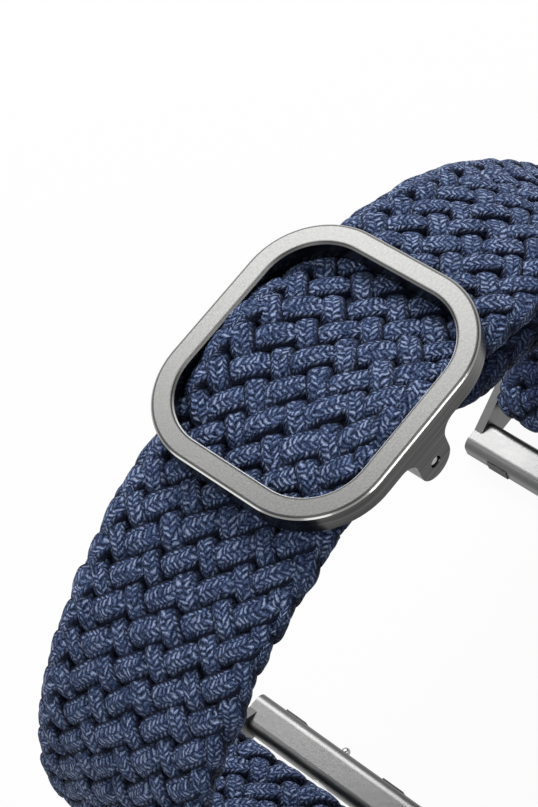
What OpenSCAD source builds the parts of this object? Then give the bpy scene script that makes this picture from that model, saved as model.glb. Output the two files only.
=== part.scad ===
// Braided stretch watch strap with a sliding frame buckle, standing as an arch on its two
// connectors. X runs along the strap, Y across it, Z up. The origin is on the floor, midway
// between the connectors. Millimetres.

/* [Strap] */
// Width of the braided strap
strap_w = 22; // [18:0.5:26]
// Thickness of one layer of the braid
strap_t = 2.6; // [2:0.1:3]
// How much each face drops at the strap's two edges, where the braid rounds off
edge_drop = 0.7; // [0.3:0.05:0.9]
// Width of that rounded edge
edge_w = 1.5; // [0.8:0.1:2]
// Gap between the outer and the inner layer
layer_gap = 0.3; // [0.2:0.05:0.6]

/* [Loop] */
// Radius of the outer layer's middle under the buckle
crown_r = 52; // [46:1:60]
// Half angle of the crown arc
crown_deg = 42; // [38:1:46]
// Radius of the outer layer's middle round the sides
side_r = 26; // [22:1:30]
// Angle from the top at which the strap reaches its connector bar
tuck_deg = 150; // [145:1:155]
// Angle from the top at which the folded tail ends
tail_deg = 112; // [108:1:116]

/* [Elastic core] */
// Width of the flat rubber core inside the braid
core_w = 16; // [12:0.5:17]
// Thickness of the rubber core
core_t = 0.8; // [0.5:0.05:1]

/* [Buckle frame] */
// Length of the frame along the strap
frame_l = 29.5; // [28.5:0.5:32]
// Thickness of the frame's wall, seen from the front
frame_wall = 2.35; // [1.8:0.05:2.6]
// Height of the frame
frame_h = 2.6; // [2.2:0.1:2.8]
// Outer radius of the frame's corners
frame_corner_r = 8.75; // [7:0.25:10]
// Bevel round the frame's front edges
frame_edge = 0.25; // [0.15:0.05:0.4]
// Gap between the strap and each side bar
side_gap = 0.3; // [0.3:0.05:0.6]
// How far the strap's crown lies below the frame's front
crown_drop = 1.85; // [1.75:0.05:2.2]

/* [Buckle ears and pin] */
// Radius of the crossbar pin
pin_r = 0.65; // [0.5:0.05:0.7]
// Radius of the ear round the pin
ear_r = 2.1; // [1.8:0.1:2.4]
// Radius of the fillets where an ear leaves the frame
ear_fillet = 1.8; // [1.2:0.1:2]
// Depth of the pin's end below the face of its ear
pin_recess = 0.4; // [0.2:0.1:0.8]

/* [Anchor loop] */
// Wall of the sleeve that turns on the pin
sleeve_wall = 0.2; // [0.15:0.05:0.25]
// Wall of the sewn loop round the sleeve
loop_wall = 0.5; // [0.35:0.05:0.5]
// Angle from the top at which the loop's tongue ends
tongue_deg = 6; // [5:0.5:9]

/* [Connectors] */
// Thickness of each cheek that holds the spring bar
cheek_t = 1.15; // [1:0.05:1.6]
// Height of the rail that slides into the watch
rail_h = 3.6; // [3.2:0.1:4]
// Depth of the rail
rail_d = 4.6; // [4.2:0.1:5.2]
// Rounding along the rail
rail_round = 1.2; // [0.6:0.1:1.3]
// Distance from the rail to the middle of the spring bar
rail_back = 5; // [4.9:0.1:6]
// Height of the spring bar above the floor
bar_h = 5.6; // [5:0.1:7]
// Radius of the cheek round the spring bar
cheek_r = 2; // [1.6:0.1:2.4]
// Gap between the strap's edge and each cheek
cheek_gap = 0.35; // [0.3:0.05:0.4]

/* [Spring bars] */
// Outer radius of the spring bar's tube
bar_r = 0.75; // [0.7:0.05:0.85]
// Wall of the spring bar's tube
bar_wall = 0.25; // [0.2:0.05:0.25]
// Radius of the tip that enters the cheek
tip_r = 0.37; // [0.3:0.01:0.38]
// How far a tip enters its cheek
tip_bite = 0.8; // [0.6:0.1:0.9]
// Outer radius of the roller on a spring bar
roller_r = 1.05; // [1.05:0.05:1.2]
// Gap between a roller and the braid round it
turn_gap = 0.25; // [0.2:0.05:0.5]

/* [Detents] */
// Radius of the detent plunger's nose
nose_r = 0.55; // [0.4:0.05:0.6]
// How far the nose stands out of the rail
nose_out = 0.7; // [0.6:0.05:0.8]
// Radius of the bore for the plunger and its spring
detent_r = 0.95; // [0.85:0.05:1.05]

/* [Clearances] */
// Radial clearance of a part that turns or slides
run = 0.05; // [0.02:0.01:0.08]
// Radial clearance of a part that is fixed in its hole
snug = 0.01; // [0.01:0.005:0.02]

/* [Hidden] */
$fn = 72;
eps = 0.01;

// Directions in the side view, as [x, z], for an angle from the top towards +X
function normal(a) = [sin(a), cos(a)];
function along(a) = [cos(a), -sin(a)];

// The strap's path: a crown arc, a side arc and a half turn round each spring bar
turn_r = roller_r + turn_gap + strap_t / 2;
crown_z = bar_h - (crown_r - side_r) * cos(crown_deg) - (side_r - turn_r) * cos(tuck_deg);
crown_c = [0, crown_z];
side_c = crown_c + (crown_r - side_r) * normal(crown_deg);
bar_c = side_c + (side_r - turn_r) * normal(tuck_deg);
bar_x = bar_c[0];
turn_end = bar_c - turn_r * normal(tuck_deg);

// A layer that folds back from the turn: its arc meets the outer layer at angle a, at depth d
function fold_r(a, d) = (side_r - 2 * turn_r - (side_r - d) * cos(tuck_deg - a))
                        / (1 - cos(tuck_deg - a));
function fold_straight(a, d) = (side_r - d - fold_r(a, d)) * sin(tuck_deg - a);
function fold_start(a, d) = turn_end - fold_straight(a, d) * along(tuck_deg);
function fold_c(a, d) = fold_start(a, d) - fold_r(a, d) * normal(tuck_deg);

layer_step = strap_t + layer_gap;
inner_r = crown_r - layer_step;
sewn_gap = 0.1;
tail_step = strap_t + sewn_gap;
seal_t = 0.8;
joint_gap = 0.3;

// A piece of trim stays this far inside the braid's faces and edges
trim_in = 0.1;
loop_in = 0.3;

// The buckle, placed over the middle of the crown
pin_z = crown_z + inner_r;
frame_top = crown_z + crown_r + strap_t / 2 + crown_drop;
frame_low = frame_top - frame_h;
frame_w = strap_w + 2 * side_gap + 2 * frame_wall;
loop_r = pin_r + run + sleeve_wall + loop_wall;
loop_w = strap_w - 2 * loop_in;

// The connectors
rail_out = bar_x - rail_back;
rail_in = rail_out - rail_d;
cheek_in = strap_w / 2 + cheek_gap;
lug_w = 2 * (cheek_in + cheek_t);
tube_past = 0.2;
tube_l = strap_w + 2 * tube_past;
spring_wall = 0.2;
lip_t = 0.5;
collar_l = 1.6;
collar_r = bar_r - bar_wall - run;
mouth_t = 0.8;
plug_t = 0.8;
plunger_collar_t = 0.7;

// Threads: one stitch lies on the cloth as a short bar
stitch_l = 1.5;
stitch_w = 0.35;
stitch_h = 0.25;
stitch_n = 8;
stitch_margin = 1.5;
stitch_pitch = (strap_w - 2 * stitch_margin) / (stitch_n - 1);
stitch_lift = 0.02;
row_pitch = 4;
row_first = 3;
tongue_rows = [1, 2.2];

braid_blue = [0.16, 0.22, 0.38];
core_grey = [0.75, 0.74, 0.7];
thread_navy = [0.08, 0.11, 0.22];
frame_grey = [0.55, 0.55, 0.54];
steel = [0.72, 0.72, 0.72];
rubber_black = [0.08, 0.08, 0.08];

// A station is a place on a path as [x, z, angle of the cloth's outward normal]
function station(c, r, a) = [c[0] + r * sin(a), c[1] + r * cos(a), a];
function arc_stations(c, r, a0, a1, n) = [for (i = [0 : n]) station(c, r, a0 + (a1 - a0) * i / n)];
function mirrored(p) = [-p[0], p[1]];

// The inner side of a turn: a straight step and then the arc that folds back to angle a
function fold_stations(c, a, d, n) = arc_stations(c, -fold_r(a, d), tuck_deg + 180, a + 180, n);

crown_steps = 16;
side_steps = 18;
turn_steps = 12;
fold_steps = 8;

// A list without its first item, and one without both ends: joined lists share no station
function rest(list) = [for (i = [1 : len(list) - 1]) list[i]];
function inside(list) = [for (i = [1 : len(list) - 2]) list[i]];
function backwards(list) = [for (i = [len(list) - 1 : -1 : 0]) list[i]];

far_side = concat(arc_stations(bar_c, turn_r, tuck_deg + 180, tuck_deg, turn_steps),
                  rest(arc_stations(side_c, side_r, tuck_deg, crown_deg, side_steps)));
tail = fold_stations(fold_c(tail_deg, tail_step), tail_deg, tail_step, fold_steps);
near_side = [for (s = concat(backwards(far_side), tail)) [-s[0], s[1], -s[2]]];
crown = arc_stations(crown_c, crown_r, crown_deg, -crown_deg, crown_steps);
outer_stations = concat(far_side, inside(crown), near_side);

// The inner layer runs from the far turn back to the anchor loop under the buckle
inner_start = tongue_deg + joint_gap / inner_r * 180 / PI;
inner_end = [turn_end[0], turn_end[1], tuck_deg + 180];
inner_stations = concat([inner_end],
                        fold_stations(fold_c(crown_deg, layer_step), crown_deg, layer_step,
                                      side_steps),
                        [for (i = [1 : side_steps])
                             station(crown_c, -inner_r, 180 + crown_deg
                                     + (inner_start - crown_deg) * i / side_steps)]);

// A flat strip of a given thickness and width along a list of stations
module strip_along(path, t, w) {
    n = len(path);
    edge = [for (s = path) [s[0] + t / 2 * sin(s[2]), s[1] + t / 2 * cos(s[2])]];
    back = [for (i = [n - 1 : -1 : 0])
                [path[i][0] - t / 2 * sin(path[i][2]), path[i][1] - t / 2 * cos(path[i][2])]];
    rotate([90, 0, 0])
        linear_extrude(w, center = true)
            polygon(concat(edge, back));
}

// The braid in section, as [outwards, across], with its edges beveled
half_t = strap_t / 2;
half_w = strap_w / 2;
braid_outline = [[half_t, half_w - edge_w], [half_t, edge_w - half_w],
                 [half_t - edge_drop, -half_w], [edge_drop - half_t, -half_w],
                 [-half_t, edge_w - half_w], [-half_t, half_w - edge_w],
                 [edge_drop - half_t, half_w], [half_t - edge_drop, half_w]];

// Sweeps one layer of the braid along a list of stations
module braid_along(path) {
    n = len(braid_outline);
    last = len(path) - 1;
    points = [for (s = path, q = braid_outline)
                  [s[0] + q[0] * sin(s[2]), q[1], s[1] + q[0] * cos(s[2])]];
    sides = [for (i = [0 : last - 1], k = [0 : n - 1], half = [0, 1])
                 half == 0
                 ? [i * n + k, i * n + (k + 1) % n, (i + 1) * n + k]
                 : [(i + 1) * n + k, i * n + (k + 1) % n, (i + 1) * n + (k + 1) % n]];
    first_cap = [for (k = [n - 1 : -1 : 0]) k];
    last_cap = [for (k = [0 : n - 1]) last * n + k];
    polyhedron(points, concat(sides, [first_cap, last_cap]));
}

// A path whose two end stations are moved a little outwards
function stepped(a, b) = [a[0] + (a[0] - b[0]) / 10, a[1] + (a[1] - b[1]) / 10, a[2]];
function past_ends(path) = let (n = len(path) - 1)
    concat([stepped(path[0], path[1])], inside(path), [stepped(path[n], path[n - 1])]);

module hollow_braid(path) {
    difference() {
        braid_along(path);
        strip_along(past_ends(path), core_t + 2 * run, core_w + 2 * run);
    }
}

module strap_braid() {
    color(braid_blue) hollow_braid(outer_stations);
}

module elastic_core() {
    color(core_grey) strip_along(outer_stations, core_t, core_w);
}

module inner_run() {
    color(braid_blue) hollow_braid(inner_stations);
}

module inner_core() {
    color(core_grey) strip_along(inner_stations, core_t, core_w);
}

module tail_seal() {
    r = fold_r(tail_deg, tail_step);
    c = mirrored(fold_c(tail_deg, tail_step));
    end = station(c, -r, -(tail_deg + 180));
    tip = [end[0] + seal_t * cos(tail_deg), end[1] + seal_t * sin(tail_deg), end[2]];
    color(thread_navy) strip_along([end, tip], strap_t - 2 * trim_in, strap_w - 2 * trim_in);
}

// One row of stitches across the strap, on a face of radius r round centre c
module stitch_row(c, r, a, side) {
    translate([c[0], 0, c[1]])
        rotate([0, a, 0])
            for (i = [0 : stitch_n - 1])
                translate([0, (i - (stitch_n - 1) / 2) * stitch_pitch,
                           r + side * (stitch_lift + stitch_h / 2)])
                    cube([stitch_w, stitch_l, stitch_h], center = true);
}

module tail_stitches() {
    fold = fold_c(tail_deg, tail_step);
    r = fold_r(tail_deg, tail_step);
    color(thread_navy)
        mirror([1, 0, 0])
            for (i = [0 : 2]) {
                a = tail_deg + row_first + i * row_pitch;
                stitch_row(side_c, side_r + strap_t / 2, a, 1);
                stitch_row(fold, r - strap_t / 2, a, -1);
            }
}

module tube_across(r_out, r_in, l) {
    rotate([90, 0, 0])
        difference() {
            cylinder(r = r_out, h = l, center = true);
            cylinder(r = r_in, h = l + 1, center = true);
        }
}

module bar_roller() {
    translate([bar_x, 0, bar_h]) tube_across(roller_r, bar_r + run, strap_w - 2 * trim_in);
}

module bar_sleeve() {
    color(steel) mirror([1, 0, 0]) bar_roller();
}

module roller_b() {
    color(steel) bar_roller();
}

module anchor_loop() {
    tongue = arc_stations(crown_c, inner_r, 0, tongue_deg, 4);
    color(braid_blue)
        difference() {
            union() {
                translate([0, 0, pin_z])
                    rotate([90, 0, 0])
                        cylinder(r = loop_r, h = loop_w, center = true);
                strip_along(tongue, strap_t - 2 * trim_in, loop_w);
            }
            translate([0, 0, pin_z])
                rotate([90, 0, 0])
                    cylinder(r = loop_r - loop_wall, h = loop_w + 1, center = true);
        }
}

module anchor_stitches() {
    color(thread_navy)
        for (a = tongue_rows)
            stitch_row(crown_c, inner_r - strap_t / 2 + trim_in, tongue_deg - a, -1);
}

module pin_sleeve() {
    color(steel)
        translate([0, 0, pin_z])
            tube_across(loop_r - loop_wall - snug, pin_r + run, loop_w);
}

// The frame's wall in section: X from the corner's centre, Y up from the underside
module frame_section() {
    inner = frame_corner_r - frame_wall;
    polygon([[inner, 0], [frame_corner_r, 0], [frame_corner_r, frame_h - frame_edge],
             [frame_corner_r - frame_edge, frame_h], [inner + frame_edge, frame_h],
             [inner, frame_h - frame_edge]]);
}

module frame_ring() {
    half_x = frame_l / 2 - frame_corner_r;
    half_y = frame_w / 2 - frame_corner_r;
    for (corner = [[1, 1, 0], [-1, 1, 90], [-1, -1, 180], [1, -1, 270]])
        translate([corner[0] * half_x, corner[1] * half_y, 0])
            rotate([0, 0, corner[2]])
                rotate_extrude(angle = 90)
                    frame_section();
    for (bar = [[0, half_x, half_y], [90, half_y, half_x],
                [180, half_x, half_y], [270, half_y, half_x]])
        rotate([0, 0, bar[0]])
            translate([bar[1], bar[2] + eps, 0])
                rotate([90, 0, 0])
                    linear_extrude(2 * bar[2] + 2 * eps)
                        frame_section();
}

// The outline of an ear, with the pin's middle at the origin and the frame above it
module ear_outline() {
    rise = frame_low - pin_z;
    circle(r = ear_r);
    translate([-ear_r, 0]) square([2 * ear_r, rise + eps]);
    for (side = [-1, 1])
        difference() {
            translate([side * (ear_r + ear_fillet / 2), rise - ear_fillet / 2 + eps / 2])
                square([ear_fillet + eps, ear_fillet + eps], center = true);
            translate([side * (ear_r + ear_fillet), rise - ear_fillet])
                circle(r = ear_fillet);
        }
}

module buckle_frame() {
    color(frame_grey)
        difference() {
            union() {
                translate([0, 0, frame_low]) frame_ring();
                for (side = [-1, 1])
                    translate([0, side * (frame_w - frame_wall) / 2, pin_z])
                        rotate([90, 0, 0])
                            linear_extrude(frame_wall, center = true)
                                ear_outline();
            }
            translate([0, 0, pin_z])
                rotate([90, 0, 0])
                    cylinder(r = pin_r + snug, h = frame_w + 1, center = true);
        }
}

module crossbar_pin() {
    color(steel)
        translate([0, 0, pin_z])
            rotate([90, 0, 0])
                cylinder(r = pin_r, h = frame_w - 2 * pin_recess, center = true);
}

module rail_section() {
    for (x = [rail_round, rail_d - rail_round], y = [rail_round, rail_h - rail_round])
        translate([x, y]) circle(r = rail_round);
    translate([0, rail_round]) square([rail_d, rail_h - 2 * rail_round]);
    translate([rail_round, 0]) square([rail_d - 2 * rail_round, rail_h]);
}

// A cheek in side view, from the rail to the spring bar, with its foot on the floor
module cheek_outline() {
    polygon([[rail_out - rail_d / 2, 0], [bar_x + cheek_r, 0], [bar_x + cheek_r, bar_h],
             [bar_x - 0.6 * cheek_r, bar_h + 0.8 * cheek_r],
             [rail_out - rail_d / 2, rail_h]]);
    translate([bar_x, bar_h]) circle(r = cheek_r);
}

bumper_y = 7.5;
bumper_size = [0.5, 3, 1.6];
bumper_proud = 0.15;

module bumper_blocks(grow, proud) {
    for (side = [-1, 1])
        translate([rail_in + (bumper_size[0] - proud) / 2, side * bumper_y, rail_h / 2])
            cube([bumper_size[0] + proud, bumper_size[1] + 2 * grow,
                  bumper_size[2] + 2 * grow], center = true);
}

module along_detent(x) {
    translate([x, 0, rail_h / 2]) rotate([0, 90, 0]) children();
}

module connector() {
    color(frame_grey)
        difference() {
            union() {
                translate([rail_in, lug_w / 2, 0])
                    rotate([90, 0, 0])
                        linear_extrude(lug_w)
                            rail_section();
                for (side = [-1, 1])
                    translate([0, side * (cheek_in + cheek_t / 2), 0])
                        rotate([90, 0, 0])
                            linear_extrude(cheek_t, center = true)
                                cheek_outline();
            }
            translate([bar_x, 0, bar_h])
                rotate([90, 0, 0])
                    cylinder(r = tip_r + run, h = lug_w + 1, center = true);
            along_detent(rail_in - 1) cylinder(r = nose_r + run, h = rail_d);
            along_detent(rail_in + mouth_t) cylinder(r = detent_r, h = rail_d);
            bumper_blocks(0, 1);
        }
}

module spring_bar() {
    color(steel)
        translate([bar_x, 0, bar_h])
            rotate([90, 0, 0])
                difference() {
                    cylinder(r = bar_r, h = tube_l, center = true);
                    cylinder(r = bar_r - bar_wall, h = tube_l - 2 * lip_t, center = true);
                    cylinder(r = tip_r + run, h = tube_l + 1, center = true);
                }
}

module bar_tip(side) {
    nose_l = lip_t + (cheek_in - tube_l / 2) + tip_bite;
    shoulder = tube_l / 2 - lip_t;
    color(steel)
        translate([bar_x, side * shoulder, bar_h])
            rotate([side * 90, 0, 0])
                union() {
                    cylinder(r = collar_r, h = collar_l);
                    translate([0, 0, -nose_l]) cylinder(r = tip_r, h = nose_l + eps);
                }
}

module bar_spring() {
    color(steel)
        translate([bar_x, 0, bar_h])
            tube_across(collar_r, collar_r - spring_wall, tube_l - 2 * lip_t - 2 * collar_l);
}

module detent() {
    color(steel) {
        along_detent(rail_in - nose_out + nose_r)
            cylinder(r = nose_r, h = nose_out - nose_r + mouth_t + eps);
        along_detent(rail_in - nose_out + nose_r) sphere(r = nose_r);
        along_detent(rail_in + mouth_t) cylinder(r = detent_r - run, h = plunger_collar_t);
    }
}

module detent_spring() {
    l = rail_d - mouth_t - plunger_collar_t - plug_t;
    color(steel)
        along_detent(rail_in + mouth_t + plunger_collar_t)
            difference() {
                cylinder(r = detent_r - 2 * run, h = l);
                translate([0, 0, -1]) cylinder(r = detent_r - 2 * run - spring_wall, h = l + 2);
            }
}

module detent_plug() {
    color(steel) along_detent(rail_out - plug_t) cylinder(r = detent_r - snug, h = plug_t);
}

module bumpers() {
    color(rubber_black) bumper_blocks(-snug, bumper_proud);
}

// The left connector is the right one's mirror image
module left() {
    mirror([1, 0, 0]) children();
}

strap_braid();
elastic_core();
inner_run();
inner_core();
tail_seal();
tail_stitches();
bar_sleeve();
anchor_loop();
anchor_stitches();
pin_sleeve();
buckle_frame();
crossbar_pin();
left() connector();  // connector_a
left() spring_bar();  // spring_bar_a
left() bar_spring();  // bar_spring_a
left() bar_tip(-1);  // bar_tip_a_front
left() bar_tip(1);  // bar_tip_a_back
left() detent();  // detent_a
left() detent_spring();  // detent_spring_a
left() detent_plug();  // detent_plug_a
left() bumpers();  // bumpers_a
connector();  // connector_b
spring_bar();  // spring_bar_b
bar_spring();  // bar_spring_b
bar_tip(-1);  // bar_tip_b_front
bar_tip(1);  // bar_tip_b_back
detent();  // detent_b
detent_spring();  // detent_spring_b
detent_plug();  // detent_plug_b
bumpers();  // bumpers_b
roller_b();
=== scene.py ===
import math

import bpy
import numpy as np
from mathutils import Matrix, Vector


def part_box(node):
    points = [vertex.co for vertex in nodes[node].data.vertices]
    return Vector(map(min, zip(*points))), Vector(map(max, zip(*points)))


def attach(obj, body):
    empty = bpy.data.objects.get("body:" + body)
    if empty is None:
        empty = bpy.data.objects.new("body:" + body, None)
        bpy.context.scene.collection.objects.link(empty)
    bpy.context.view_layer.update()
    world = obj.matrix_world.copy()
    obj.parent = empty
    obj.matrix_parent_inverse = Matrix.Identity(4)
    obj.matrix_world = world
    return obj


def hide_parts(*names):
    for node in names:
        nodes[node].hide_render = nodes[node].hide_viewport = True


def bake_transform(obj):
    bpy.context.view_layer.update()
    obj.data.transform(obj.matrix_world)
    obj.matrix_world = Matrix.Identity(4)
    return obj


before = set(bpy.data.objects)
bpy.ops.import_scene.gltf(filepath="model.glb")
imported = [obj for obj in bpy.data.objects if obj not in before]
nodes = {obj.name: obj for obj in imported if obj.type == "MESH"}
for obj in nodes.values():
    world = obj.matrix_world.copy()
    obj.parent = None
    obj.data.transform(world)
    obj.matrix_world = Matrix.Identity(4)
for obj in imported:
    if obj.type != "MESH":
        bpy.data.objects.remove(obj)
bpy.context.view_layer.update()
scene = bpy.context.scene
MM = 0.001

# The strap's path in the side view, in millimetres and degrees, with the same sizes as the
# solids: an arc over the crown, an arc down each side, and a turn round each connector's bar
STRAP_W = 22.0
CROWN_R = 52.0
CROWN_DEG = 42.0
SIDE_R = 26.0
TUCK_DEG = 150.0
TAIL_DEG = 112.0
ANCHOR_DEG = 5.0
BAR_H = 5.6
TURN_R = 2.6
LAYER_STEP = 2.9
TAIL_STEP = 2.7
PATH_STEP = 0.2


def normal(a):
    """The outward direction at an angle from the top, as x and z."""
    a = math.radians(a)
    return np.array([math.sin(a), math.cos(a)])


def along(a):
    """The direction along an arc at an angle from the top, as x and z."""
    a = math.radians(a)
    return np.array([math.cos(a), -math.sin(a)])


def cosd(a):
    return math.cos(math.radians(a))


CROWN_Z = BAR_H - (CROWN_R - SIDE_R) * cosd(CROWN_DEG) - (SIDE_R - TURN_R) * cosd(TUCK_DEG)
CROWN_C = np.array([0.0, CROWN_Z])
SIDE_C = CROWN_C + (CROWN_R - SIDE_R) * normal(CROWN_DEG)
BAR_C = SIDE_C + (SIDE_R - TURN_R) * normal(TUCK_DEG)
INNER_R = CROWN_R - LAYER_STEP
PIN_Z = CROWN_Z + INNER_R
TURN_END = BAR_C - TURN_R * normal(TUCK_DEG)


def fold(a, depth):
    """Radius and centre of the arc that brings a layer from the turn to its depth at angle a."""
    k = cosd(TUCK_DEG - a)
    r = (SIDE_R - 2 * TURN_R - (SIDE_R - depth) * k) / (1 - k)
    straight = (SIDE_R - depth - r) * math.sin(math.radians(TUCK_DEG - a))
    return r, TURN_END - straight * along(TUCK_DEG) - r * normal(TUCK_DEG)


def arc(c, r, a0, a1):
    """Closely spaced points of an arc, as (x, z, angle of the cloth's outward normal)."""
    flip = 0.0 if r > 0 else 180.0
    n = max(8, int(abs(math.radians(a1 - a0)) * abs(r) / PATH_STEP))
    return [(c[0] + abs(r) * math.sin(math.radians(a)), c[1] + abs(r) * cosd(a), a + flip)
            for a in np.linspace(a0, a1, n)]


def mirrored(points):
    """The same points on the strap's other half."""
    return [(-x, z, -a) for x, z, a in points]


def flipped(points):
    """The same points with the outward normal turned to the strap's other face."""
    return [(x, z, a + 180.0) for x, z, a in points]


class Path:
    """A line in the side view, read by its length from the start."""

    def __init__(self, points):
        p = np.array(points, float)
        keep = [0] + [i for i in range(1, len(p))
                      if np.hypot(*(p[i, :2] - p[i - 1, :2])) > 1e-6]
        p = p[keep]
        self.s = np.concatenate([[0], np.cumsum(np.hypot(*np.diff(p[:, :2], axis=0).T))])
        self.x, self.z = p[:, 0], p[:, 1]
        self.a = np.unwrap(np.radians(p[:, 2]))
        self.length = self.s[-1]

    def at(self, u, off):
        """Points at length u, off outwards along the cloth's normal, as x and z."""
        a = np.interp(u, self.s, self.a)
        return (np.interp(u, self.s, self.x) + off * np.sin(a),
                np.interp(u, self.s, self.z) + off * np.cos(a))


tail_r, tail_c = fold(TAIL_DEG, TAIL_STEP)
run_r, run_c = fold(CROWN_DEG, LAYER_STEP)

# From the tail round connector A's bar, over the crown, round connector B's bar and back
# under the outer layer to the buckle
tail_part = flipped(mirrored(arc(tail_c, tail_r, TAIL_DEG, TUCK_DEG)))
turn_a = mirrored(arc(BAR_C, TURN_R, TUCK_DEG + 180, TUCK_DEG))
side_a = mirrored(arc(SIDE_C, SIDE_R, TUCK_DEG, CROWN_DEG))
crown = arc(CROWN_C, CROWN_R, -CROWN_DEG, CROWN_DEG)
side_b = arc(SIDE_C, SIDE_R, CROWN_DEG, TUCK_DEG)
turn_b = arc(BAR_C, TURN_R, TUCK_DEG, TUCK_DEG + 180)
run_fold = flipped(arc(run_c, run_r, TUCK_DEG, CROWN_DEG))
run_crown = flipped(arc(CROWN_C, INNER_R, CROWN_DEG, ANCHOR_DEG))

before_crown = tail_part + turn_a + side_a
outer_pts = before_crown + crown + side_b + turn_b
whole = Path(outer_pts + run_fold + run_crown)
outer_len = Path(outer_pts).length
crown_mid = Path(before_crown + crown[:len(crown) // 2]).length

# The braid: cords cross the width and turn back at the edges, over two and under two
PITCH = 3.8
COLUMN = 2.4
COLUMNS = 10
STRANDS = 21
CYCLE = PITCH * STRANDS
REACH = COLUMN * (COLUMNS + 0.5) / 2

# At the edges: how many pitches a cord takes on each side of its turn, the distance from the
# middle beyond which it curls round the edge, how far past that it comes at most, the length
# over which its rise halves, and how much its section leans and over what length
TURN_PITCHES = 0.54
FLAT = 9.5
ROLL = 0.85
CURL = 1.4
LEAN = 0.9
LEAN_OVER = 2.5

# A float: how far its middle rises, half its width and thickness, the shares of these two that
# are left where a cord passes from one face to the other, and a power that fills its section
PLUMP = 0.74
FLOAT_W = 1.45
FLOAT_T = 0.84
NARROW = 0.64
THIN = 0.66
FULLNESS = 0.85
SKIN = PLUMP + FLOAT_T

# How quickly a cord passes under, how much longer one way lies on top, and its sideways swing
RISE = 1.2
BIAS = -0.17
SLANT = 0.62

# Each cord strays from its place: how often and to how far past the strap's end, how far up or
# down and sideways, and by what share of its width; its stitches start anywhere in a length
STRAY_EVERY = 3.1
STRAY_PAST = 3.2
STRAY_UP = 0.08
STRAY_OUT = 0.14
STRAY_WIDTH = 0.08
STITCH_START = 40
SEED = 100

# A cord's points: their distance along it, how many go round it, and how far beyond a joint
# of two pieces the extra point lies that lets them meet exactly
STEP = 0.25
AROUND = 14
BEYOND = 0.02

# The curl at an edge lies open to the light, so the yarn's painted shade is lifted there: from how
# far out, over what length, and how much at least
OPEN_FROM = 7.0
OPEN_OVER = 1.8
OPEN_LIT = 0.84

# The sheet of painted shade inside the braid, seen through its gaps: its distance from the braid's
# middle, the half width that is darkest, how lit its edges are, their margin from the strap's, and
# the distance of its points
SHADE_SHEET = 0.45
SHADE_SHEET_DARK = 7.4
SHADE_SHEET_LIT = 1.2 / SKIN
SHADE_SHEET_MARGIN = 1.4
SHADE_SHEET_STEP = 0.5

# How far the strap swells in the buckle's window and over what half length, and how far more
# at its edges, from how far across and over what width
SWELL = 1.2
SWELL_HALF = 11.5
EDGE_RAISE = 1.1
EDGE_FROM = 4
EDGE_OVER = 6.5

# Beyond the buckle: how far it dips, how far from the window's middle that begins and how long
# it is, and how far its left side stands proud
DIP = 1.3
DIP_START = 27
DIP_L = 34
LEFT_PROUD = 0.4

# The inner layer: how far it drops near the buckle and dips beyond it, and the length from the
# crossbar to its end
INNER_DROP = 1.1
INNER_DIP = 1.35
PIN_GAP = 4.3

# An end is pressed to this share of the braid's thickness, and fills out over this length
PRESSED = 0.5
PRESSED_L = 3.0


def step(value, low, high):
    """0 up to low, 1 from high on, and smooth between."""
    t = np.clip((value - low) / (high - low), 0, 1)
    return t * t * (3 - 2 * t)


def plateau(value, start, full, fall, end):
    """0 outside start and end, 1 between full and fall, and smooth between."""
    return step(value, start, full) * (1 - step(value, fall, end))


def window(u):
    """1 under the middle of the buckle's window, falling to 0 at its ends."""
    d = np.clip(np.abs(u - crown_mid) / SWELL_HALF, 0, 1)
    return np.cos(math.pi / 2 * d) ** 2


def sag(d):
    """The shoulder beyond the buckle is a little flatter, at d from the window's middle."""
    return np.sin(math.pi * np.clip((d - DIP_START) / DIP_L, 0, 1)) ** 2


def outer_bulge(u):
    """The strap swells up through the buckle's window, and dips beyond it."""
    d = crown_mid - u
    return SWELL * window(u) - DIP * sag(-d) + LEFT_PROUD * plateau(d, 12, 22, 50, 60)


def from_pin(u):
    """Length from the crossbar to a place on the inner layer."""
    return whole.length - u + PIN_GAP


def inner_bulge(u):
    """The inner layer hangs a little clear of the outer one beyond the buckle."""
    d = from_pin(u)
    return INNER_DROP * plateau(d, 4, 10, 20, 38) + INNER_DIP * sag(d)


def outer_width(u):
    """The outer layer is drawn in a little under the buckle."""
    d = np.clip((np.abs(u - crown_mid) - 8) / 10, 0, 1)
    return 1.015 + np.where(u < crown_mid, 0.012, -0.01) * d


def inner_width(u):
    """The inner layer is a little wider where it hangs clear."""
    return 0.99 + 0.05 * plateau(from_pin(u), 5, 9, 20, 40)


def pressed(d):
    """The share of its thickness that a sealed or sewn braid has, at d from its end."""
    return PRESSED + (1 - PRESSED) * np.clip(d / PRESSED_L, 0, 1) ** 0.7


def unpressed(u):
    """The outer layer's right half, which has no end of its own."""
    return np.ones_like(u)


def inner_pressed(u):
    """The inner layer is pressed at its end, and a little thicker where it hangs clear."""
    d = whole.length - u
    return pressed(d) * (1 + 0.15 * plateau(d, 2, 6, 20, 40))


def rounded_triangle(phase):
    """A triangle wave of period 1 and height 1, rounded at its turns, and its direction."""
    p = phase % 1.0
    wave = np.where(p < 0.5, 4 * p - 1, 3 - 4 * p)
    way = np.where(p < 0.5, 1.0, -1.0)
    near = np.minimum(p % 0.5, 0.5 - p % 0.5)
    room = TURN_PITCHES * PITCH / CYCLE
    t = near / room
    top = 1 - 4 * room * (t * t + 1) / 2
    side = np.where((p > 0.25) & (p < 0.75), 1.0, -1.0)
    turning = near < room
    return np.where(turning, side * top, wave), np.where(turning, way * t, way)


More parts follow.
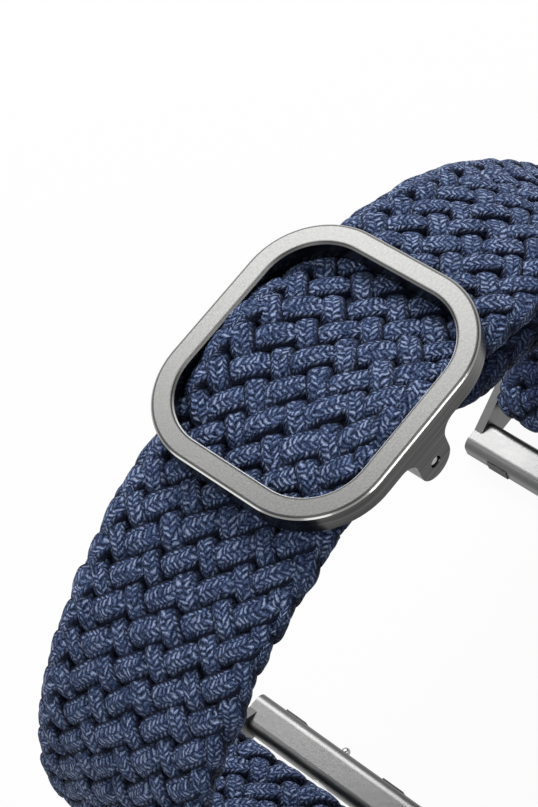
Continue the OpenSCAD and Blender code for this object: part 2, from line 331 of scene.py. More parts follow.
def woven(index, u):
    """A cord's place across, its height from about -1 to 1, and how far past the flat it is."""
    wave, way = rounded_triangle((u + index * PITCH) / CYCLE)
    v = REACH * wave
    place = math.pi * (v / COLUMN + (COLUMNS - 1) / 2)
    high = np.tanh((RISE * np.cos(place) + BIAS) * way) / math.tanh(RISE)
    inside = np.clip((COLUMNS / 2 * COLUMN - np.abs(v)) / COLUMN, 0, 1)
    v = v + inside * SLANT * COLUMN / (2 * math.pi) * way ** 2 * np.sin(2 * place)
    past = np.clip(np.abs(v) - FLAT, 0, None)
    v = np.sign(v) * (np.minimum(np.abs(v), FLAT) + ROLL * (1 - np.exp(-past / ROLL)))
    return v, high, past


def strays(index, total, u):
    """Four small wanderings of a cord at lengths u of the strap, and the cord's own length."""
    rng = np.random.default_rng(SEED + index)
    knots = np.arange(0, total + STRAY_PAST, STRAY_EVERY)
    waves = rng.normal(0, 1, (4, len(knots)))
    marks = np.linspace(0.0, total, int(total / STEP) + 1)
    v, high, _ = woven(index, marks)
    steps = np.sqrt(np.diff(marks) ** 2 + np.diff(v) ** 2 + (PLUMP * np.diff(high)) ** 2)
    grown = np.concatenate([[0], np.cumsum(steps)]) + rng.uniform(0, STITCH_START)
    return [np.interp(u, knots, wave) for wave in waves], np.interp(u, marks, grown)


def unit(vectors):
    return vectors / np.linalg.norm(vectors, axis=1)[:, None]


def fuller(wave):
    """A sine or cosine for a section a little fuller than an ellipse, so a float looks plump."""
    return np.sign(wave) * np.abs(wave) ** FULLNESS


def cord(index, path, u, bulge, width, squeeze):
    """A cord at lengths u: its rings of points, how far out in the braid they lie (raised where it
    curls round an edge, which lifts the painted shade there), and the cord's own length."""
    v, high, past = woven(index, u)
    stray, length = strays(index, path.length, u)
    thin = squeeze(u)
    outside = np.clip((np.abs(v) - EDGE_FROM) / EDGE_OVER, 0, 1) ** 1.4
    rise = PLUMP * high * thin * (1 - 0.5 * np.clip(past / CURL, 0, 1))
    off = rise + bulge(u) + STRAY_UP * stray[0] + EDGE_RAISE * outside * window(u)
    y = v * width(u) + STRAY_OUT * stray[1]
    x, z = path.at(u + STRAY_OUT * stray[3], off)
    centre = np.stack([x, y, z], 1)
    tangent = unit(np.gradient(centre, u, axis=0))
    x1, z1 = path.at(u, off)
    x2, z2 = path.at(u, off + 0.1)
    out = unit(np.stack([x2 - x1, 0 * u, z2 - z1], 1))
    # where it curls round the edge, its section leans over with it
    lean = np.clip(past / LEAN_OVER, 0, 1) * LEAN
    out = out + np.stack([0 * u, np.sign(v) * lean * np.sign(high), 0 * u], 1)
    out -= (out * tangent).sum(1)[:, None] * tangent
    out = unit(out)
    side = np.cross(tangent, out)
    lift = np.abs(high)
    wide = FLOAT_W * (NARROW + (1 - NARROW) * lift ** 0.6) * (1 + STRAY_WIDTH * stray[2])
    thick = FLOAT_T * (THIN + (1 - THIN) * lift) * thin
    ring = np.arange(AROUND) / AROUND * 2 * math.pi
    ring_c, ring_s = fuller(np.cos(ring)), fuller(np.sin(ring))
    points = (centre[:, None, :]
              + ring_c[None, :, None] * wide[:, None, None] * side[:, None, :]
              + ring_s[None, :, None] * thick[:, None, None] * out[:, None, :])
    depth = np.abs(rise[:, None] + ring_s[None, :] * thick[:, None])
    open_edge = (np.clip((np.abs(v) - OPEN_FROM) / OPEN_OVER, 0, 1)
                 * (OPEN_LIT + (1 - OPEN_LIT) * np.clip(past / 2, 0, 1)))
    return points, np.maximum(depth, SKIN * open_edge[:, None]), length


def lattice(n, m, closed=True):
    """Quads over n stations of m points each."""
    k = np.arange(n - 1)[:, None] * m
    j = np.arange(m if closed else m - 1)[None, :]
    j2 = (j + 1) % m
    return np.stack([k + j, k + j2, k + m + j2, k + m + j], -1).reshape(-1, 4)


def capped(n, m):
    """Quads over n stations of a flat section of m points, closed at both ends."""
    ends = [[e * m + j, e * m + j + 1, e * m + m - 2 - j, e * m + m - 1 - j]
            for e in (0, n - 1) for j in range(m // 2 - 1)]
    return np.concatenate([lattice(n, m), np.array(ends)])


def cord_uv(length, around):
    """Cord coordinates of a lattice's quads: the length along it, and the turn round it."""
    shape = (len(length) - 1, around, 4)
    lu = np.stack([length[:-1], length[:-1], length[1:], length[1:]], -1)[:, None, :]
    j = np.arange(around)
    lv = np.stack([j, j + 1, j + 1, j], -1)[None] / around
    return np.stack([np.broadcast_to(lu, shape), np.broadcast_to(lv, shape)],
                    -1).reshape(-1, 2)


def built(name, parts):
    """A mesh object from parts, each with points in millimetres, quads, and where the yarn needs
    them the quads' cord coordinates and the points' depths, which are 0 in the braid's middle and
    about 1 at its faces, and by which the yarn paints shade."""
    starts = np.cumsum([0] + [len(part[0]) for part in parts])
    points = np.concatenate([part[0] for part in parts]) * MM
    quads = np.concatenate([part[1] + start for part, start in zip(parts, starts)])
    uvs = np.concatenate([part[2] if len(part) > 2 else np.zeros((part[1].size, 2))
                          for part in parts])
    depths = np.concatenate([part[3] if len(part) > 3 else np.ones(len(part[0]))
                             for part in parts])
    mesh = bpy.data.meshes.new(name)
    mesh.vertices.add(len(points))
    mesh.vertices.foreach_set("co", points.astype(np.float32).ravel())
    mesh.loops.add(quads.size)
    mesh.loops.foreach_set("vertex_index", quads.astype(np.int32).ravel())
    mesh.polygons.add(len(quads))
    mesh.polygons.foreach_set("loop_start", np.arange(len(quads), dtype=np.int32) * 4)
    layer = mesh.uv_layers.new(name="cord")
    layer.data.foreach_set("uv", uvs.astype(np.float32).ravel())
    depth = mesh.attributes.new("depth", "FLOAT", "POINT")
    depth.data.foreach_set("value", depths.astype(np.float32))
    mesh.update(calc_edges=True)
    mesh.validate()
    mesh.shade_smooth()
    obj = bpy.data.objects.new(name, mesh)
    scene.collection.objects.link(obj)
    return obj


def shade_sheet(path, u0, u1, bulge, way):
    """A dark sheet inside the braid that paints the shade seen through its gaps, facing out (1) or
    in (-1).
    """
    u = np.arange(u0, u1, SHADE_SHEET_STEP)
    u[-1] = u1
    x, z = path.at(u, bulge(u) + SHADE_SHEET * way)
    half = STRAP_W / 2 - SHADE_SHEET_MARGIN
    across = [y * way for y in (-half, -SHADE_SHEET_DARK, SHADE_SHEET_DARK, half)]
    points = np.stack([np.stack([x, np.full_like(x, y), z], 1) for y in across], 1)
    quads = lattice(len(u), len(across), closed=False)
    uvs = np.tile([0.0, 0.25], (quads.size, 1))
    depths = np.tile([SHADE_SHEET_LIT, 0.0, 0.0, SHADE_SHEET_LIT], len(u))
    return points.reshape(-1, 3), quads, uvs, depths


def braid(name, path, u0, u1, bulge, width, squeeze):
    """All cords between two lengths of the path, and the sheets of painted shade inside, as one
    mesh.
    """
    u = np.linspace(u0, u1, int((u1 - u0) / STEP) + 1)
    n = len(u)
    # one point more at each end that has a neighbour, so that the pieces meet exactly
    before, after = int(u0 > 0), int(u1 < path.length)
    u = np.concatenate([[u0 - BEYOND] * before, u, [u1 + BEYOND] * after])
    kept = slice(before, before + n)
    parts = []
    for i in range(STRANDS):
        points, depth, length = cord(i, path, u, bulge, width, squeeze)
        parts.append((points[kept].reshape(-1, 3), lattice(n, AROUND),
                      cord_uv(length[kept], AROUND), depth[kept].reshape(-1) / SKIN))
    # the sheets of painted shade inside the braid, seen through its gaps
    parts += [shade_sheet(path, u0, u1, bulge, way) for way in (1, -1)]
    return built(name, parts)


# The rubber core: half its width, its threads, half its thickness between them and how much
# more they have, the distance of its points along it, and how many go across each face
CORE_HALF = 7.9
CORE_THREADS = 20
CORE_T = 0.31
CORE_RIB = 0.09
CORE_STEP = 0.6
CORE_ACROSS = 97


def core_strip(name, path, u0, u1, bulge):
    """The flat elastic core: rubber threads side by side, seen as ribs."""
    u = np.arange(u0, u1, CORE_STEP)
    u[-1] = u1
    y = np.linspace(-CORE_HALF, CORE_HALF, CORE_ACROSS)
    rib = CORE_T + CORE_RIB * np.abs(np.cos(y * math.pi * CORE_THREADS / (2 * CORE_HALF)))
    across = np.concatenate([y, y[::-1]])
    n, m = len(u), len(across)
    high = np.tile(np.concatenate([rib, -rib]), n) + np.repeat(bulge(u), m)
    x, z = path.at(np.repeat(u, m), high)
    return built(name, [(np.stack([x, np.tile(across, n), z], 1), capped(n, m))])


# Woven tape: its thickness, its ribs' pitch along it and width across it, how far they stand
# out, and the distances of its points along and across it
TAPE_T = 0.5
TAPE_PITCH = 0.62
TAPE_CELL = 0.55
TAPE_RELIEF = 0.05
TAPE_STEP = 0.13
TAPE_ACROSS = 0.26


def tape(name, line, half, thick=TAPE_T):
    """A woven tape along a line of (x, z): fine ribs on both faces, thin at its sides and ends."""
    p = np.array(line, float)
    s_in = np.concatenate([[0], np.cumsum(np.hypot(*np.diff(p, axis=0).T))])
    s = np.linspace(0, s_in[-1], max(6, int(s_in[-1] / TAPE_STEP)))
    x, z = np.interp(s, s_in, p[:, 0]), np.interp(s, s_in, p[:, 1])
    for _ in range(3):
        x[1:-1] = (x[:-2] + 2 * x[1:-1] + x[2:]) / 4
        z[1:-1] = (z[:-2] + 2 * z[1:-1] + z[2:]) / 4
    tx, tz = np.gradient(x), np.gradient(z)
    size = np.hypot(tx, tz)
    nx, nz = -tz / size, tx / size
    across = np.linspace(-1, 1, int(2 * half / TAPE_ACROSS))
    body = thick / 2 * (1 - np.abs(across) ** 12 * 0.75)
    ys = np.concatenate([across, across[::-1]]) * half
    face = np.concatenate([np.ones_like(across), -np.ones_like(across)])
    hs = np.concatenate([body, body]) * face
    n, m = len(s), len(ys)
    wave = np.cos(2 * math.pi * s[:, None] / TAPE_PITCH
                  + math.pi * np.round(ys / TAPE_CELL)[None, :])
    ends = np.clip(np.minimum(s, s[-1] - s) / 0.25, 0.35, 1)[:, None]
    off = hs[None, :] * ends + TAPE_RELIEF * wave * face[None, :] * ends
    points = np.stack([x[:, None] + off * nx[:, None], np.broadcast_to(ys, (n, m)),
                       z[:, None] + off * nz[:, None]], -1).reshape(-1, 3)
    quads = capped(n, m)
    # the yarn's stitches, 1.6 times as close along it, and one turn of a cord in 4 mm across it
    uvs = np.stack([np.repeat(s, m) * 1.6, np.tile(ys / 4.0, n)], -1)[quads.reshape(-1)]
    return built(name, [(points, quads, uvs)])


# A seam's stitch: its length, the radius of its thread, and how deep its ends dive
STITCH_L = 1.5
THREAD_R = 0.17
STITCH_DIVE = 0.5


def thread_bars(name, spots):
    """Stitches: short bars of twisted thread across the strap, whose ends dive into the cloth.
    Each spot is its middle's x and z, the cloth's normal, and its y."""
    n, m = 11, 8
    t = np.linspace(-1, 1, n)[:, None]
    ring = np.arange(m)[None, :] / m * 2 * math.pi
    quads = lattice(n, m)
    lu = np.repeat(np.arange(n) / n * STITCH_L * 3, m)
    lv = np.tile(np.arange(m) / m, n)
    uvs = np.stack([lu, lv], -1)[quads.reshape(-1)]
    parts = []
    for i, (x, z, nx, nz, y) in enumerate(spots):
        shape = THREAD_R * (1 + 0.08 * np.cos(t * 9 + i))
        side = shape * np.cos(ring)
        up = -STITCH_DIVE * np.abs(t) ** 3 + shape * np.sin(ring)
        points = np.stack([x + up * nx + side * nz, y + t * STITCH_L / 2 + 0 * ring,
                           z + up * nz - side * nx], -1)
        parts.append((points.reshape(-1, 3), quads, uvs))
    return built(name, parts)


def dome(name, x, y, z, r, high):
    """The rounded end of the crossbar pin, facing out along Y."""
    out = 1 if y > 0 else -1
    around = 32
    ring = np.arange(around) / around * 2 * math.pi
    profile = [(1.0, -0.3), (1.0, 0.0), (0.94, 0.35), (0.82, 0.62), (0.62, 0.82),
               (0.35, 0.95), (0.02, 1.0)]
    points = np.array([[x + r * k * math.cos(a), y + out * high * h, z + r * k * math.sin(a)]
                       for k, h in profile for a in ring])
    quads = lattice(len(profile), around)
    if out > 0:
        quads = quads[:, ::-1]
    return built(name, [(points, quads)])


class Nodes:
    """Short calls that build a tree of shader nodes."""

    def __init__(self, tree):
        tree.nodes.clear()
        self.tree = tree

    def fill(self, socket, value):
        """Give a socket a number or colour, or link another node's output to it."""
        if isinstance(value, bpy.types.NodeSocket):
            self.tree.links.new(value, socket)
        else:
            socket.default_value = value

    def new(self, kind, inputs=None, **settings):
        """A new node with some settings, and some inputs by their name or number."""
        node = self.tree.nodes.new("ShaderNode" + kind)
        for key, value in settings.items():
            setattr(node, key, value)
        for key, value in (inputs or {}).items():
            self.fill(node.inputs[key], value)
        return node

    def maths(self, operation, *values):
        return self.new("Math", dict(enumerate(values)), operation=operation).outputs[0]

    def spread(self, value, low, high, start=0.0, end=1.0, kind="SMOOTHSTEP"):
        """A value between low and high, turned into one between start and end."""
        inputs = {0: value, "From Min": low, "From Max": high, "To Min": start, "To Max": end}
        return self.new("MapRange", inputs, interpolation_type=kind).outputs[0]

    def colours(self, factor, a, b):
        """Colour a where the factor is 0, and b where it is 1."""
        return self.new("Mix", {"Factor": factor, "A": a, "B": b},
                        data_type="RGBA").outputs["Result"]


class Finish(Nodes):
    """A new material: its shader, and textures that lie still on the object."""

    def __init__(self, name):
        self.material = bpy.data.materials.new(name)
        self.material.use_nodes = True
        super().__init__(self.material.node_tree)
        self.shader = self.new("BsdfPrincipled")
        self.new("OutputMaterial", {0: self.shader.outputs[0]})
        coord = self.new("TexCoord")
        self.place = coord.outputs["Object"]
        self.facing = coord.outputs["Normal"]

    def noise(self, scale, detail=2, place=None):
        """Noise at the object's own places, or at others that are given."""
        if place is None:
            place = self.place
        return self.new("TexNoise", {"Vector": place, "Scale": scale,
                                     "Detail": detail}).outputs[0]

    def bump(self, height, strength, distance):
        node = self.new("Bump", {"Strength": strength, "Distance": distance,
                                 "Height": height})
        self.fill(self.shader.inputs["Normal"], node.outputs[0])

    def surface(self, **values):
        """Fill the shader's inputs, whose names are written here with _ for a space."""
        for key, value in values.items():
            self.fill(self.shader.inputs[key.replace("_", " ")], value)


# The yarn: wales of stitches round each cord, stitches along it in each millimetre, how many
# stitches they slant, jump from wale to wale and stray, and how deep they are in metres
WALES = 12.0
STITCHES = 1.9
STITCH_SLANT = 0.8
STITCH_JUMP = 0.5
STITCH_SHAKE = 1.8
STITCH_DEPTH = 0.00023


def yarn_material(name, dark, mid, light):
    """A small braided cord: slanting stitches in chevrons round it, uneven, with painted
    highlights on the stitches' crests and painted shade in the grooves and in the gaps between
    cords.
    """
    f = Finish(name)
    maths = f.maths

    def centred(scale, detail):
        """Noise about 0."""
        return maths("SUBTRACT", f.noise(scale, detail), 0.5)

    def hump(value, power):
        """1 in the middle of each whole step of a value, and 0 at its ends."""
        side = maths("SUBTRACT", maths("MULTIPLY", maths("FRACT", value), 2), 1)
        return maths("SUBTRACT", 1, maths("POWER", maths("ABSOLUTE", side), power))

    split = f.new("SeparateXYZ", {0: f.new("UVMap", uv_map="cord").outputs[0]})
    length, turn = split.outputs[0], split.outputs[1]
    wale = maths("ADD", centred(1100, 1), maths("MULTIPLY", turn, WALES))
    row = maths("ADD", maths("MULTIPLY", length, STITCHES),
                maths("MULTIPLY", maths("PINGPONG", wale, 1.0), STITCH_SLANT))
    row = maths("MULTIPLY_ADD", maths("FLOOR", wale), STITCH_JUMP, row)
    row = maths("MULTIPLY_ADD", centred(700, 2), STITCH_SHAKE, row)
    cell = f.new("CombineXYZ", {0: maths("FLOOR", row), 1: maths("FLOOR", wale)})
    chance = f.new("TexWhiteNoise", {"Vector": cell.outputs[0]}, noise_dimensions="2D").outputs[0]
    stitch = maths("MULTIPLY", hump(row, 1.3), maths("MULTIPLY_ADD", hump(wale, 3.5), 0.75, 0.25))
    fibre = centred(5200, 2)

    height = maths("MULTIPLY", stitch, maths("MULTIPLY_ADD", chance, 0.5, 0.75))
    f.bump(maths("MULTIPLY_ADD", fibre, 0.35, height), 1.0, STITCH_DEPTH)

    # the colour is lighter on the stitches' crests and darker in the grooves between stitches and
    # between wales: painted highlight and shade, with a random tone per stitch and fine fibre
    # noise
    value = maths("MULTIPLY_ADD", stitch, maths("MULTIPLY_ADD", chance, 0.6, 0.45), 0.08)
    value = maths("MULTIPLY_ADD", centred(900, 1), 0.25, value)
    value = maths("MULTIPLY_ADD", fibre, 1.5, value)
    ramp = f.new("ValToRGB", {0: value})
    first, last = ramp.color_ramp.elements
    first.position, first.color = 0.08, (*dark, 1)
    last.position, last.color = 1.0, (*light, 1)
    ramp.color_ramp.elements.new(0.5).color = (*mid, 1)

    # painted shade: dark in the depth, and on the flanks, where a cord lies against the next one
    depth = f.new("Attribute", attribute_name="depth").outputs["Fac"]
    flank = maths("ABSOLUTE", maths("COSINE", maths("MULTIPLY", turn, 2 * math.pi)))
    lit = maths("MAXIMUM", f.spread(flank, 0.56, 0.86, 1, 0),
                f.spread(depth, 0.93, 1, kind="LINEAR"))
    lit = maths("MULTIPLY", f.spread(depth, 0.44, 0.94), lit)
    painted_shade_colour = (*[c * 0.5 for c in dark], 1)
    f.surface(Base_Color=f.colours(lit, painted_shade_colour, ramp.outputs[0]), Roughness=0.62,
              Sheen_Weight=0.04, Sheen_Roughness=0.4, Sheen_Tint=(0.6, 0.7, 1.0, 1),
              Specular_IOR_Level=0.1)
    return f.material


# How deep the grain of metal and of rubber is, in metres
GRAIN_DEPTH = 0.0001


def shades(color, low, high):
    """A darker and a lighter shade of a colour."""
    return (*[c * low for c in color], 1), (*[min(1, c * high) for c in color], 1)


def metal_material(name, color, rough, strength=0.06):
    """Blasted metal: fine grain, and broad patches of uneven gloss."""
    f = Finish(name)
    grain = f.noise(1500, 4)
    gloss = f.spread(f.noise(180), 0, 1, rough - 0.05, rough + 0.05, kind="LINEAR")
    f.bump(grain, strength, GRAIN_DEPTH)
    f.surface(Base_Color=f.colours(grain, *shades(color, 0.93, 1.06)), Roughness=gloss,
              Metallic=1.0)
    return f.material


def rubber_material(name, color, rough):
    """Matt rubber with a fine grain."""
    f = Finish(name)
    grain = f.noise(1400)
    f.bump(grain, 0.15, GRAIN_DEPTH)
    f.surface(Base_Color=f.colours(grain, *shades(color, 0.85, 1.1)), Roughness=rough)
    return f.material


# The buckle ring: its corner radius, wall and chamfer in millimetres, and the greys of its face,
# its polished chamfers and the thin dark line along its face's edges
CORNER_R = 8.75
WALL = 2.35
CHAMFER = 0.25
FACE_GREY = 0.083
POLISHED_GREY = 0.4
LINE_GREY = 0.012


def frame_material(name):
    """Fine blasted face with a thin dark line along its edges, polished outer chamfers, a painted
    highlight on the inner chamfer that brightens with the way it faces, and dark walls whose
    streaks are machined relief with painted reflection in their colour.
    """
    f = Finish(name)
    maths = f.maths

    def band(value, low, high, soft):
        """1 from low to high, fading to 0 over soft outside them."""
        return maths("MULTIPLY", f.spread(value, low - soft, low),
                     f.spread(value, high, high + soft, 1, 0))

    def blend(a, b, factor):
        """Number a where the factor is 0, and b where it is 1."""
        return f.new("Mix", {0: factor, 2: a, 3: b}, data_type="FLOAT").outputs[0]

    place = f.new("SeparateXYZ", {0: f.place}).outputs
    facing = f.new("SeparateXYZ", {0: f.facing}).outputs
    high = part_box("buckle_frame")[1]

    def past_corner(i):
        """Distance past the centre of the corner's radius, along x or y."""
        return maths("MAXIMUM", maths("SUBTRACT", maths("ABSOLUTE", place[i]),
                                      high[i] - CORNER_R * MM), 0)

    # rim is the distance in millimetres from the corner's centre, so CORNER_R at the outside
    hx, hy = past_corner(0), past_corner(1)
    rim = maths("SQRT", maths("ADD", maths("MULTIPLY", hx, hx), maths("MULTIPLY", hy, hy)))
    rim = maths("MULTIPLY", rim, 1 / MM)
    inside = CORNER_R - WALL
    up = maths("ABSOLUTE", facing[2])
    face = band(up, 0.95, 2, 0.03)
    wall = band(up, -1, 0.4, 0.1)
    bevel = band(up, 0.6, 0.82, 0.06)
    polished = maths("MULTIPLY", bevel, band(rim, CORNER_R - CHAMFER / 2, 99, 0.04))
    # the inner chamfer gets a painted highlight: its tone rises with the way it faces, and it is
    # less metallic
    painted_glint = maths("MULTIPLY", bevel, band(rim, -1, inside + CHAMFER / 2, 0.04))
    painted_glint_tone = f.spread(maths("ADD", facing[0], facing[1]), -0.2, 0.4, 0.12, 0.8, kind="LINEAR")
    outer = band(rim, CORNER_R - CHAMFER - 0.10, CORNER_R - CHAMFER, 0.04)
    inner = band(rim, inside + CHAMFER, inside + CHAMFER + 0.08, 0.04)
    line = maths("MULTIPLY", maths("MAXIMUM", outer, maths("MULTIPLY", inner, 0.6)), face)

    grain = f.noise(4200, 3)
    stretch = f.new("Mapping", {0: f.place, "Scale": (60, 60, 3600)})
    machined_and_reflection_streak = f.noise(1.0, 3, stretch.outputs[0])
    tone = maths("MULTIPLY", FACE_GREY, maths("MULTIPLY_ADD", grain, 0.5, 0.75))
    # the walls' colour is darker and streaked, a painted reflection of dark surroundings; the same
    # streaks give machined relief in the bump
    tone = blend(tone, maths("MULTIPLY_ADD", machined_and_reflection_streak, 0.15, -0.025), wall)
    tone = blend(tone, POLISHED_GREY, polished)
    tone = blend(tone, painted_glint_tone, painted_glint)
    tone = blend(tone, LINE_GREY, maths("MULTIPLY", line, 0.8))
    color = f.new("CombineColor", {0: tone, 1: tone, 2: maths("MULTIPLY", tone, 0.985)})
    f.bump(maths("ADD", grain, maths("MULTIPLY", machined_and_reflection_streak, wall)), 0.25, 0.00002)
    f.surface(Base_Color=color.outputs[0],
              Roughness=blend(blend(0.3, 0.24, wall), 0.16, polished),
              Metallic=maths("MULTIPLY_ADD", painted_glint, -0.6, 1))
    return f.material


YARN = yarn_material("braid_yarn", (0.008, 0.014, 0.042), (0.052, 0.081, 0.17),
                     (0.27, 0.325, 0.48))
# The same yarn in darker colours: painted shade for the inner layer and the loop under the buckle,
# which lie in shadow
YARN_PAINTED_SHADE = yarn_material("braid_yarn_painted_shade", (0.005, 0.009, 0.028), (0.02, 0.033, 0.08),
                        (0.09, 0.12, 0.22))
THREAD = yarn_material("thread", (0.01, 0.014, 0.04), (0.03, 0.045, 0.11), (0.09, 0.12, 0.24))
FRAME_METAL = frame_material("frame_metal")
LUG_METAL = metal_material("lug_metal", (0.14, 0.14, 0.139), 0.4, strength=0.12)
STEEL = metal_material("steel", (0.4, 0.4, 0.4), 0.28)
CORE = rubber_material("core", (0.03, 0.035, 0.05), 0.6)
BLACK = rubber_material("bumper", (0.03, 0.03, 0.03), 0.6)


def material_of(node):
    """The material of a solid, by its name."""
    if node.startswith("connector"):
        return LUG_METAL
    if node.startswith("bumpers"):
        return BLACK
    if node in ("elastic_core", "inner_core"):
        return CORE
    if node == "buckle_frame":
        return FRAME_METAL
    if node in ("strap_braid", "inner_run", "anchor_loop"):
        return YARN
    if node in ("tail_seal", "tail_stitches", "anchor_stitches"):
        return THREAD
    return STEEL


for node, solid in nodes.items():
    solid.data.materials.clear()
    solid.data.materials.append(material_of(node))


def dress(piece, material):
    piece.data.materials.append(material)


# The outer layer in two halves that meet under the middle of the window, and the inner layer
left = braid("braid_left", whole, 0.0, crown_mid, outer_bulge, outer_width, pressed)
right = braid("braid_right", whole, crown_mid, outer_len, outer_bulge, outer_width, unpressed)
run = braid("braid_inner", whole, outer_len, whole.length, inner_bulge, inner_width,
            inner_pressed)
dress(left, YARN)
dress(right, YARN)
dress(run, YARN_PAINTED_SHADE)
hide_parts("strap_braid")
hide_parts("inner_run")
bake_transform(left)
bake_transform(right)
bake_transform(run)

# The core in each of them, which bends as they do
for name, u0, u1, bulge, node, way, low in (
        ("core_left", 0.5, crown_mid, outer_bulge, "elastic_core", -1, 0.058),
        ("core_right", crown_mid, outer_len, outer_bulge, None, 1, 0.058),
        ("core_inner", outer_len, whole.length - 0.5, inner_bulge, "inner_core", 1, 0.056)):
    piece = core_strip(name, whole, u0, u1, bulge)
    dress(piece, CORE)
    if node:
        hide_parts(node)
    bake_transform(piece)


def ridden(piece, material, body, node=None):
    dress(piece, material)
    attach(piece, body)
    if node:
        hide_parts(node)


def on_crown(a, off):
    """A point of the inner layer at angle a, off above its middle, as (x, z)."""
    return tuple(CROWN_C + (INNER_R + off) * normal(a))


# A seam's row: how many stitches it has, and how far apart its outer ones are
ROW_N = 8
ROW_W = 19
row_places = [(i - (ROW_N - 1) / 2) * ROW_W / (ROW_N - 1) for i in range(ROW_N)]

# The woven loop that holds the crossbar: a tape round the pin, with the braid's end and a
# filler between its plies, sewn through. Its plies are angles from the top and distances from
# the inner layer's middle.
PIN_LOOP_R = 1.15
LOOP_HALF = 10.7
FILLER_HALF = 10.3
FILLER_T = 1.5
plies = [(7.4, 1.3), (6.4, 1.2), (5.0, 1.02), (3.5, 0.97), (1.6, 0.97)]
round_pin = [(PIN_LOOP_R * cosd(a), PIN_Z + PIN_LOOP_R * math.sin(math.radians(a)))
             for a in range(70, 291, 10)]
loop_line = ([on_crown(a, off) for a, off in plies] + round_pin
             + [on_crown(a, -off) for a, off in reversed(plies)])
ridden(tape("anchor_tape", loop_line, LOOP_HALF), YARN_PAINTED_SHADE, "anchor", "anchor_loop")
filler_line = [on_crown(a, 0) for a in (5.0, 4.0, 3.0, 2.0)]
ridden(tape("anchor_filler", filler_line, FILLER_HALF, FILLER_T), YARN_PAINTED_SHADE, "anchor")
bars = [(*on_crown(a, -1.2), *(-normal(a)), y) for a in (3.8, 5.0) for y in row_places]
ridden(thread_bars("anchor_thread", bars), THREAD, "anchor", "anchor_stitches")

# The tail's end is bound with a folded tape and sewn to the layer outside it. The hem is
# lengths from the end, the tape lies off the braid's middle by its offset, and it turns round
# the end on an ellipse with its high and its long half axis.
HEM_HALF = 10.95
HEM_OFF = 1.3
HEM_HIGH = 1.25
HEM_LONG = 0.55
hem = (0.1, 0.6, 1.2, 1.9, 2.6)
end = np.array(whole.at(0.0, 0.0))
up = np.array(whole.at(0.0, 1.0)) - end
back = (end - np.array(whole.at(0.3, 0.0))) / 0.3
round_end = [tuple(end + HEM_HIGH * math.sin(math.radians(a)) * up + HEM_LONG * cosd(a) * back)
             for a in range(70, -71, -20)]
seal_line = ([whole.at(u, HEM_OFF) for u in reversed(hem)] + round_end
             + [whole.at(u, -HEM_OFF) for u in hem])
ridden(tape("tail_binding", seal_line, HEM_HALF), THREAD, "strap", "tail_seal")
rows = []
for a in (TAIL_DEG + 3, TAIL_DEG + 7, TAIL_DEG + 11):
    for c, r, out in ((SIDE_C, SIDE_R + 1.45, 1), (tail_c, tail_r - 1.5, -1)):
        x, z = c + r * normal(a)
        nx, nz = out * normal(a)
        rows += [(-x, z, -nx, nz, y) for y in row_places]
ridden(thread_bars("tail_thread", rows), THREAD, "strap", "tail_stitches")

# The crossbar's rounded ends, in the ears' holes
PIN_END_Y = 13.25
PIN_END_R = 0.63
PIN_END_H = 0.3
for side, name in ((-1, "pin_end_front"), (1, "pin_end_back")):
    ridden(dome(name, 0.0, side * PIN_END_Y, PIN_Z, PIN_END_R, PIN_END_H), STEEL,
           "buckle")

# Camera, fitted to the buckle's outline in the photograph: its directions, its place from the
# buckle's top (right, down and ahead, in metres), and the focal length and the photograph's
# height in pixels
RIGHT = Vector((0.627, -0.727, -0.281)).normalized()
AHEAD = Vector((0.232, 0.519, -0.823)).normalized()
DOWN = AHEAD.cross(RIGHT).normalized()
RIGHT = DOWN.cross(AHEAD).normalized()
TOP = Vector((0, 0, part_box("buckle_frame")[1].z))
EYE = (-0.00417, 0.00362, -0.2123)
SENSOR = 36.0
FOCAL_PX = 2222
PHOTO_H = 807
cam_data = bpy.data.cameras.new("camera")
cam_data.sensor_width = SENSOR
cam_data.lens = FOCAL_PX * SENSOR / PHOTO_H
cam_data.clip_start = 0.01
cam_data.clip_end = 10
cam = bpy.data.objects.new("camera", cam_data)
scene.collection.objects.link(cam)
eye = TOP + EYE[0] * RIGHT + EYE[1] * DOWN + EYE[2] * AHEAD
turn = Matrix((RIGHT, -DOWN, -AHEAD)).transposed().to_4x4()
cam.matrix_world = Matrix.Translation(eye) @ turn
scene.camera = cam

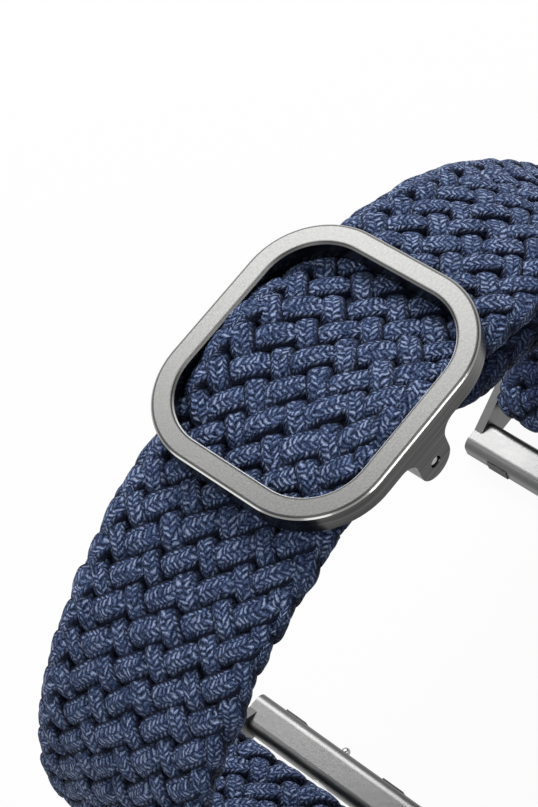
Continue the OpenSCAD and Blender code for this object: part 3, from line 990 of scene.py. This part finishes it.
# Floor: matt, and nearly white to the camera, in reflections and through glass
FLOOR_HALF = 3
corners = [(x * FLOOR_HALF, y * FLOOR_HALF, 0) for x, y in ((-1, -1), (1, -1), (1, 1), (-1, 1))]
floor_mesh = bpy.data.meshes.new("floor")
floor_mesh.from_pydata(corners, [], [(0, 1, 2, 3)])
floor = bpy.data.objects.new("floor", floor_mesh)
scene.collection.objects.link(floor)
floor_mat = bpy.data.materials.new("floor")
floor_mat.use_nodes = True
tree = Nodes(floor_mat.node_tree)
rays = tree.new("LightPath").outputs
seen = tree.maths("MAXIMUM", rays["Is Camera Ray"], rays["Is Glossy Ray"])
seen = tree.maths("MAXIMUM", seen, rays["Is Transmission Ray"])
matt = tree.new("BsdfDiffuse", {0: (0.55, 0.55, 0.55, 1)})
glow = tree.new("Emission", {0: (1, 1, 1, 1)})
mix = tree.new("MixShader", {0: tree.maths("MULTIPLY", seen, 0.95), 1: matt.outputs[0],
                             2: glow.outputs[0]})
tree.new("OutputMaterial", {0: mix.outputs[0]})
floor_mesh.materials.append(floor_mat)

# World: dim light, white to the camera and through glass, and half white in reflections
world = bpy.data.worlds.new("world")
scene.world = world
world.use_nodes = True
tree = Nodes(world.node_tree)
rays = tree.new("LightPath").outputs
seen = tree.maths("MAXIMUM", rays["Is Camera Ray"], rays["Is Transmission Ray"])
seen = tree.maths("MAXIMUM", seen, tree.maths("MULTIPLY", rays["Is Glossy Ray"], 0.5))
dim = tree.new("Background", {0: (0.96, 0.98, 1.0, 1), 1: 0.3})
white = tree.new("Background", {0: (1, 1, 1, 1), 1: 1.0})
mix = tree.new("MixShader", {0: seen, 1: dim.outputs[0], 2: white.outputs[0]})
tree.new("OutputWorld", {0: mix.outputs[0]})


def lamp(name, place, aim, size, power):
    """A soft rectangular lamp, with its sides in metres and its power in watts."""
    data = bpy.data.lights.new(name, "AREA")
    data.shape = "RECTANGLE"
    data.size, data.size_y = size
    data.energy = power
    light = bpy.data.objects.new(name, data)
    scene.collection.objects.link(light)
    light.location = place
    light.rotation_mode = "QUATERNION"
    light.rotation_quaternion = (Vector(aim) - Vector(place)).to_track_quat("-Z", "Y")


# The softbox points almost straight down and is what the ring's face mirrors
lamp("softbox", (0.262, 0.262, 0.42), (0.2621, 0.2621, 0.0), (0.32, 0.30), 3.9)
lamp("strip", (0.14, -0.49, 0.37), (0, 0, 0.06), (0.3, 0.10), 0.4)
lamp("key", (-0.28, 0.12, 0.50), (0, 0, 0.05), (0.22, 0.22), 0.8)
lamp("shoulder", (0.30, 0.10, 0.30), (0.03, 0, 0.05), (0.15, 0.15), 0.25)
lamp("edge", (-0.41, 0.26, 0.17), (0, 0, 0.06), (0.16, 0.12), 0.08)
lamp("corner", (-0.36, -0.22, 0.32), (0, 0, 0.06), (0.2, 0.16), 0.16)

scene.view_settings.view_transform = "Standard"
